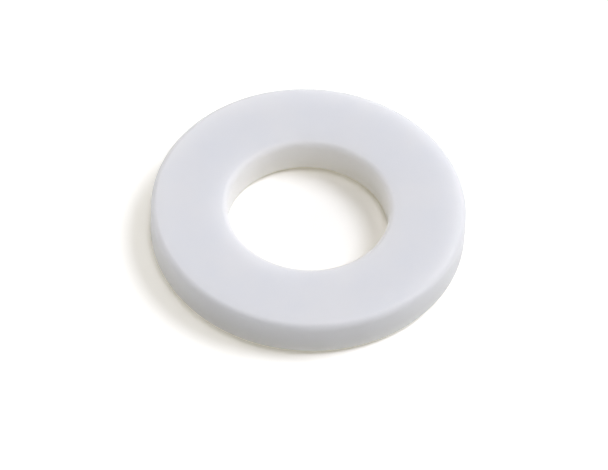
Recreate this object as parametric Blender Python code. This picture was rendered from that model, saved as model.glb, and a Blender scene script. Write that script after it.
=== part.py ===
"""Flat washer for an M6 bolt, made of natural white nylon.

The washer is one solid ring turned about Z: two flat faces, a straight outer wall, a straight
bore for the bolt, and a small rounding on each of its four edges. The lower face lies on
Z = 0 and the bore's axis is the Z axis. All lengths are in metres.
"""

from math import cos, pi, sin

import bmesh
import bpy

# Driving dimensions: a plain washer for a 6 mm bolt.
OUTER_DIAMETER = 0.0125
BORE_DIAMETER = 0.0064
THICKNESS = 0.0016
EDGE_RADIUS = 0.00025  # rounding where each flat face meets each wall

# Fineness of the facets.
FACETS_ROUND = 96  # facets in one turn about the axis
FACETS_PER_EDGE = 3  # facets across one rounded edge
SHARP_ANGLE = pi / 4  # edges steeper than this would shade as creases

# Natural nylon: milky white, faintly blue, with a satin surface.
NYLON_COLOUR = (0.84, 0.86, 0.89, 1.0)
NYLON_ROUGHNESS = 0.45


def clear_objects():
    """Remove every object from the scene, so that each run starts from nothing."""
    for item in list(bpy.data.objects):
        bpy.data.objects.remove(item)


def nylon():
    """The one material that the washer is moulded from."""
    material = bpy.data.materials.new("natural_nylon")
    material.use_nodes = True
    shader = material.node_tree.nodes["Principled BSDF"]
    shader.inputs["Base Color"].default_value = NYLON_COLOUR
    shader.inputs["Roughness"].default_value = NYLON_ROUGHNESS
    shader.inputs["Metallic"].default_value = 0.0
    return material


def section_outline():
    """Points (radius, height) round the ring's cross-section: a rectangle with rounded corners."""
    inner = BORE_DIAMETER / 2
    outer = OUTER_DIAMETER / 2
    corner_centres = (
        (outer - EDGE_RADIUS, EDGE_RADIUS),
        (outer - EDGE_RADIUS, THICKNESS - EDGE_RADIUS),
        (inner + EDGE_RADIUS, THICKNESS - EDGE_RADIUS),
        (inner + EDGE_RADIUS, EDGE_RADIUS),
    )
    points = []
    for quarter, (radius, height) in enumerate(corner_centres):
        start = (quarter - 1) * pi / 2
        for step in range(FACETS_PER_EDGE + 1):
            angle = start + step * (pi / 2) / FACETS_PER_EDGE
            across = EDGE_RADIUS * cos(angle)
            up = EDGE_RADIUS * sin(angle)
            points.append((radius + across, height + up))
    return points


def turned_ring(outline):
    """Closed mesh made by turning the outline once about the Z axis."""
    shape = bmesh.new()
    start = [shape.verts.new((radius, 0.0, height)) for radius, height in outline]
    edges = [shape.edges.new((start[i - 1], start[i])) for i in range(len(start))]
    bmesh.ops.spin(
        shape,
        geom=start + edges,
        cent=(0.0, 0.0, 0.0),
        axis=(0.0, 0.0, 1.0),
        angle=2 * pi,
        steps=FACETS_ROUND,
        use_merge=True,
    )
    bmesh.ops.recalc_face_normals(shape, faces=shape.faces)
    mesh = bpy.data.meshes.new("washer")
    shape.to_mesh(mesh)
    shape.free()
    mesh.shade_smooth()
    mesh.set_sharp_from_angle(angle=SHARP_ANGLE)
    return mesh


def add_washer():
    """The washer, standing on Z = 0 with its bore's axis on Z."""
    washer = bpy.data.objects.new("washer", turned_ring(section_outline()))
    washer.data.materials.append(nylon())
    bpy.context.scene.collection.objects.link(washer)


def main():
    clear_objects()
    add_washer()


main()
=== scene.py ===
"""Looks of the flat washer: a milky nylon ring that lies on a white studio floor.

Everything is in metres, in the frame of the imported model: the washer's lower face lies on
Z = 0 and the axis of its bore is the Z axis. The ring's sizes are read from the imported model.
"""

from math import cos, pi, radians, sin

import bmesh
import bpy
from mathutils import Matrix, Vector


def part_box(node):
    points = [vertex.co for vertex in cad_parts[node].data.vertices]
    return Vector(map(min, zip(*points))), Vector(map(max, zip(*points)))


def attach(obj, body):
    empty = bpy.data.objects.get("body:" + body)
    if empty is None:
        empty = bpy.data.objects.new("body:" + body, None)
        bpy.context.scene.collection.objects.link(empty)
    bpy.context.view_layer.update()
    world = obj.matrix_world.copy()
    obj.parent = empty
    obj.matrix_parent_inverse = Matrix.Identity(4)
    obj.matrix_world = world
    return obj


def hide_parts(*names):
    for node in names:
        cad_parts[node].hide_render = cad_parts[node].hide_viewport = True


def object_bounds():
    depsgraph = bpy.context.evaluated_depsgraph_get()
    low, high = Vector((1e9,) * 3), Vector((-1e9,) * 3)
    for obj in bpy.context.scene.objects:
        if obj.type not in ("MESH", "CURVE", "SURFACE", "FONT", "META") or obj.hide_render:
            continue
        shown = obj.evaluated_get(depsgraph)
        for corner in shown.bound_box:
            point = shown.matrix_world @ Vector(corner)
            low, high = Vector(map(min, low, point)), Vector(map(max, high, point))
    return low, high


MM = 0.001

# Camera: a long lens in front of the washer, looking down at it, with a small roll.
CAMERA_ELEVATION = radians(50.1)
CAMERA_ROLL = radians(3.0)
CAMERA_DISTANCE = 0.25
CAMERA_LENS = 374.0  # focal length in millimetres, on Blender's 36 mm wide sensor
CAMERA_CLIP = (0.01, 10.0)
AIM_LEFT = 0.186 * MM  # how far the aim point lies left of the upper face's centre
AIM_BELOW = 1.177 * MM  # and how far below it, both across the line of sight

# Fineness of the visible ring.
TURN_STEPS = 288
EDGE_STEPS = 9
FACE_STEPS = 14
WALL_STEPS = 6
EDGE_RADIUS = 0.25 * MM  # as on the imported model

# Nylon's colours: two close tones of milky white that drift over the faces, and three more: a worn
# tone, painted shade on the outer wall and painted light on the bore's wall.
COOL_TONE = (0.768, 0.778, 0.800, 1.0)
WARM_TONE = (0.788, 0.792, 0.804, 1.0)
WORN_TONE = (0.805, 0.808, 0.815, 1.0)  # specks on the rounded edges
OUTER_WALL_PAINTED_SHADE = (0.640, 0.646, 0.660, 1.0)  # painted shade on the outer wall, greyer than the faces
BORE_WALL_PAINTED_LIGHT = (0.872, 0.864, 0.845, 1.0)  # painted light on the bore's wall, lighter and warmer than the faces

# Nylon's surface: how far light travels inside it, its shine, and its grain.
LIGHT_REACH = 1.4 * MM
SHINE = 0.4
ROUGHNESS_RANGE = (0.52, 0.66)
CLOUD_SIZE = 1.9 * MM
SPECK_SIZE = 0.10 * MM
WEAR_RANGE = (0.0, 0.6)  # share of the worn tone, between the specks and in them
GRAIN_SIZE = 0.045 * MM
GRAIN_DEPTH = 0.0025 * MM

# Noise values at which each pattern starts and is full.
CLOUD_NOISE = (0.35, 0.65)
WEAR_NOISE = (0.45, 0.6)
ROUGHNESS_NOISE = (0.3, 0.7)

# Floor: a matt white sheet with a warm glow of its own. The glow is weaker inside the bore and
# along the washer's outer foot: painted shade, set to the brightness seen there; no real floor was
# measured.
FLOOR_SIDE = 8.0
FLOOR_LEVEL = 0.8  # side of the level middle
FLOOR_RISE = 0.2  # height of the sheet's outer edge, so that low views still end on it
FLOOR_DROP = 0.01 * MM  # keeps the floor clear of the washer's lower face
FLOOR_WHITE = (0.88, 0.88, 0.88, 1.0)
OUTER_GLOW = (0.370, 0.355, 0.305, 1.0)  # outside the washer
BORE_GLOW_PAINTED_SHADE = (0.185, 0.168, 0.120, 1.0)  # painted shade: a weaker glow inside the bore
GLOW_CHANGE = (5.8 * MM, 6.7 * MM)  # distances from the axis over which the painted shade becomes the outer glow

# Soft lights as (name, azimuth, elevation, spread, red, green, blue): azimuth 0 is the right
# and 90 the back, all angles are in degrees, and the colour is also the strength.
SOFT_LIGHTS = (
    ("key_right", 22, 51, 32, 2.32, 2.35, 2.51),
    ("overhead", 0, 88, 15, 0.82, 0.80, 0.82),
    ("fill_left", 150, 15, 20, 0.68, 0.66, 0.63),
)
WORLD_STRENGTH = 0.01  # a trace of even light from all round


# ---------------------------------------------------------------- the ring's shape


def ring_sizes(node):
    """Bore radius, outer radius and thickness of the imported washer."""
    low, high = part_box(node.name)
    bore = min(vertex.co.xy.length for vertex in node.data.vertices)
    return bore, high.x, high.z - low.z


def straight(start, end, steps):
    """Points from start towards end, without the end itself."""
    start, end = Vector(start), Vector(end)
    return [tuple(start.lerp(end, i / steps)) for i in range(steps)]


def rounded_corner(centre, first_angle):
    """Points on a quarter circle of the edge's radius, without its last point."""
    points = []
    for step in range(EDGE_STEPS):
        angle = first_angle + step * (pi / 2) / EDGE_STEPS
        points.append((centre[0] + EDGE_RADIUS * cos(angle), centre[1] + EDGE_RADIUS * sin(angle)))
    return points


def section_points(bore, outer, thickness):
    """The ring's cross-section as (radius, height, edge); edge is 1 on the rounded corners."""
    near, far = bore + EDGE_RADIUS, outer - EDGE_RADIUS
    low, high = EDGE_RADIUS, thickness - EDGE_RADIUS
    pieces = (
        (rounded_corner((far, low), -pi / 2), 1.0),
        (straight((outer, low), (outer, high), WALL_STEPS), 0.0),
        (rounded_corner((far, high), 0.0), 1.0),
        (straight((far, thickness), (near, thickness), FACE_STEPS), 0.0),
        (rounded_corner((near, high), pi / 2), 1.0),
        (straight((bore, high), (bore, low), WALL_STEPS), 0.0),
        (rounded_corner((near, low), pi), 1.0),
        (straight((near, 0.0), (far, 0.0), FACE_STEPS), 0.0),
    )
    return [(radius, height, edge) for points, edge in pieces for radius, height in points]


def wall_share(depth):
    """1 on a wall, falling to 0 at the depth where the rounded edge meets the flat face."""
    return max(0.0, 1.0 - depth / EDGE_RADIUS)


def build_ring(bore, outer, thickness):
    """Mesh of the ring: its cross-section carried once round the Z axis.

    Three values are kept on each vertex: edge, which is 1 on the rounded edges, and outer_wall
    and bore_wall, which are 1 on those walls and carry their painted shade and painted light.
    """
    section = section_points(bore, outer, thickness)
    shape = bmesh.new()
    new_layer = shape.verts.layers.float.new
    layers = {name: new_layer(name) for name in ("edge", "outer_wall", "bore_wall")}
    rings = []
    for turn in range(TURN_STEPS):
        angle = 2 * pi * turn / TURN_STEPS
        ring = []
        for radius, height, edge in section:
            vertex = shape.verts.new((radius * cos(angle), radius * sin(angle), height))
            vertex[layers["edge"]] = edge
            vertex[layers["outer_wall"]] = wall_share(outer - radius)
            vertex[layers["bore_wall"]] = wall_share(radius - bore)
            ring.append(vertex)
        rings.append(ring)
    for turn, here in enumerate(rings):
        before = rings[turn - 1]
        for i in range(len(section)):
            shape.faces.new((before[i - 1], here[i - 1], here[i], before[i]))
    bmesh.ops.recalc_face_normals(shape, faces=shape.faces)
    mesh = bpy.data.meshes.new("nylon_ring")
    shape.to_mesh(mesh)
    shape.free()
    mesh.shade_smooth()
    return mesh


# ---------------------------------------------------------------- materials


def new_material(name):
    """A material with its node tree and its Principled shader."""
    material = bpy.data.materials.new(name)
    material.use_nodes = True
    tree = material.node_tree
    return material, tree, tree.nodes["Principled BSDF"]


def noise(tree, position, feature_size, detail=2.0):
    """Noise in object space, whose features are about feature_size across."""
    node = tree.nodes.new("ShaderNodeTexNoise")
    node.inputs["Scale"].default_value = 1.0 / feature_size
    node.inputs["Detail"].default_value = detail
    tree.links.new(position, node.inputs["Vector"])
    return node.outputs["Fac"]


def remap(tree, value, from_range, to_range):
    """The value carried over from one range to another, and clamped to it."""
    node = tree.nodes.new("ShaderNodeMapRange")
    node.inputs["From Min"].default_value = from_range[0]
    node.inputs["From Max"].default_value = from_range[1]
    node.inputs["To Min"].default_value = to_range[0]
    node.inputs["To Max"].default_value = to_range[1]
    tree.links.new(value, node.inputs["Value"])
    return node.outputs["Result"]


def multiply(tree, first, second):
    """Product of two node outputs."""
    node = tree.nodes.new("ShaderNodeMath")
    node.operation = "MULTIPLY"
    tree.links.new(first, node.inputs[0])
    tree.links.new(second, node.inputs[1])
    return node.outputs["Value"]


def mix_colour(tree, factor, first, second):
    """Blend of two colours; each is a fixed colour or a node's output."""
    node = tree.nodes.new("ShaderNodeMix")
    node.data_type = "RGBA"
    tree.links.new(factor, node.inputs["Factor"])
    for name, colour in (("A", first), ("B", second)):
        socket = next(s for s in node.inputs if s.name == name and s.type == "RGBA")
        if isinstance(colour, tuple):
            socket.default_value = colour
        else:
            tree.links.new(colour, socket)
    return next(s for s in node.outputs if s.type == "RGBA")


def vertex_value(tree, name):
    """A value that is kept on the ring's vertices."""
    node = tree.nodes.new("ShaderNodeAttribute")
    node.attribute_name = name
    return node.outputs["Fac"]


def nylon():
    """Natural nylon: cloudy milky white that light sinks into, satin, with a moulded grain."""
    material, tree, shader = new_material("milky_nylon")
    shader.inputs["Subsurface Weight"].default_value = 1.0
    shader.inputs["Subsurface Radius"].default_value = (1.0, 1.0, 1.0)
    shader.inputs["Subsurface Scale"].default_value = LIGHT_REACH
    shader.inputs["Specular IOR Level"].default_value = SHINE
    position = tree.nodes.new("ShaderNodeTexCoord").outputs["Object"]

    cloud_noise = noise(tree, position, CLOUD_SIZE, detail=3.0)
    clouds = remap(tree, cloud_noise, CLOUD_NOISE, (0.0, 1.0))
    colour = mix_colour(tree, clouds, COOL_TONE, WARM_TONE)
    specks = noise(tree, position, SPECK_SIZE)
    wear = remap(tree, specks, WEAR_NOISE, WEAR_RANGE)
    edge_wear = multiply(tree, vertex_value(tree, "edge"), wear)
    colour = mix_colour(tree, edge_wear, colour, WORN_TONE)
    # Painted shade: the outer wall is darker than the faces.
    colour = mix_colour(tree, vertex_value(tree, "outer_wall"), colour, OUTER_WALL_PAINTED_SHADE)
    # Painted light: the bore's wall is lighter and warmer than the faces.
    colour = mix_colour(tree, vertex_value(tree, "bore_wall"), colour, BORE_WALL_PAINTED_LIGHT)
    tree.links.new(colour, shader.inputs["Base Color"])

    roughness = remap(tree, specks, ROUGHNESS_NOISE, ROUGHNESS_RANGE)
    tree.links.new(roughness, shader.inputs["Roughness"])

    bump = tree.nodes.new("ShaderNodeBump")
    bump.inputs["Strength"].default_value = 1.0
    bump.inputs["Distance"].default_value = GRAIN_DEPTH
    tree.links.new(noise(tree, position, GRAIN_SIZE, detail=3.0), bump.inputs["Height"])
    tree.links.new(bump.outputs["Normal"], shader.inputs["Normal"])
    return material


def floor_sheet():
    """Matt white, with a warm glow of its own, which is weaker inside the bore: painted shade."""
    material, tree, shader = new_material("floor_paint")
    shader.inputs["Base Color"].default_value = FLOOR_WHITE
    shader.inputs["Roughness"].default_value = 1.0
    shader.inputs["Specular IOR Level"].default_value = 0.0
    shader.inputs["Emission Strength"].default_value = 1.0

    distance = tree.nodes.new("ShaderNodeVectorMath")
    distance.operation = "LENGTH"
    position = tree.nodes.new("ShaderNodeTexCoord").outputs["Object"]
    tree.links.new(position, distance.inputs[0])
    # The glow fades from the painted shade in the bore and at the washer's foot to the full glow
    # outside.
    outside = remap(tree, distance.outputs["Value"], GLOW_CHANGE, (0.0, 1.0))
    glow = mix_colour(tree, outside, BORE_GLOW_PAINTED_SHADE, OUTER_GLOW)
    tree.links.new(glow, shader.inputs["Emission Color"])
    return material


# ---------------------------------------------------------------- pieces and stage


def add_object(name, data):
    """A new object, linked to the scene."""
    item = bpy.data.objects.new(name, data)
    bpy.context.scene.collection.objects.link(item)
    return item


def add_washer(node):
    """The visible ring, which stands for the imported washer."""
    washer = add_object("nylon_ring", build_ring(*ring_sizes(node)))
    washer.data.materials.append(nylon())
    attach(washer, "root")
    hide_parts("washer")


def add_floor():
    """The white sheet that the washer lies on: level, with a wide border that rises gently."""
    squares = ((FLOOR_LEVEL / 2, 0.0), (FLOOR_SIDE / 2, FLOOR_RISE))
    corners = [
        (x * half, y * half, height)
        for half, height in squares
        for x, y in ((-1, -1), (1, -1), (1, 1), (-1, 1))
    ]
    borders = [(i, i + 4, (i + 1) % 4 + 4, (i + 1) % 4) for i in range(4)]
    mesh = bpy.data.meshes.new("studio_floor")
    mesh.from_pydata(corners, [], [(0, 1, 2, 3), *borders])
    mesh.materials.append(floor_sheet())
    floor = add_object("studio_floor", mesh)
    floor.location.z = -FLOOR_DROP


def add_camera(thickness):
    """The camera, aimed a little beside and below the centre of the upper face."""
    back = Vector((0.0, -cos(CAMERA_ELEVATION), sin(CAMERA_ELEVATION)))
    right = Matrix.Rotation(CAMERA_ROLL, 3, back) @ Vector((1.0, 0.0, 0.0))
    up = back.cross(right)
    aim = Vector((0.0, 0.0, thickness)) - AIM_LEFT * right - AIM_BELOW * up
    camera = add_object("camera", bpy.data.cameras.new("camera"))
    camera.data.lens = CAMERA_LENS
    camera.data.clip_start, camera.data.clip_end = CAMERA_CLIP
    camera.rotation_euler = Matrix((right, up, back)).transposed().to_euler()
    camera.location = aim + CAMERA_DISTANCE * back
    bpy.context.scene.camera = camera


def add_soft_light(name, azimuth, elevation, spread, *colour):
    """A far light as wide and even as a large softbox; colour is also its strength."""
    turn, rise = radians(azimuth), radians(elevation)
    towards = Vector((cos(turn) * cos(rise), sin(turn) * cos(rise), sin(rise)))
    light = bpy.data.lights.new(name, "SUN")
    light.angle = radians(spread)
    light.energy = max(colour)
    light.color = [channel / light.energy for channel in colour]
    lamp = add_object(name, light)
    lamp.rotation_euler = towards.to_track_quat("Z", "Y").to_euler()
    lamp.location = towards


def add_world():
    """Faint even light from all round."""
    world = bpy.data.worlds.new("studio")
    world.use_nodes = True
    background = world.node_tree.nodes["Background"]
    background.inputs["Color"].default_value = (1.0, 1.0, 1.0, 1.0)
    background.inputs["Strength"].default_value = WORLD_STRENGTH
    bpy.context.scene.world = world


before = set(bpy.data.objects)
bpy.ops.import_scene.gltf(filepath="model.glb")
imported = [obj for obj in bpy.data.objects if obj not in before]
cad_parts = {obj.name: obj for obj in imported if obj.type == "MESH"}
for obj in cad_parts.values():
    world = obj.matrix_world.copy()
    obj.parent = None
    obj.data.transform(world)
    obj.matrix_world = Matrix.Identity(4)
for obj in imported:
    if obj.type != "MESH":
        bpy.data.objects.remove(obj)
cad_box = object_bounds()
add_camera(cad_box[1].z)
add_washer(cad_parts["washer"])
add_floor()
for soft_light in SOFT_LIGHTS:
    add_soft_light(*soft_light)
add_world()
bpy.context.scene.view_settings.view_transform = "Standard"
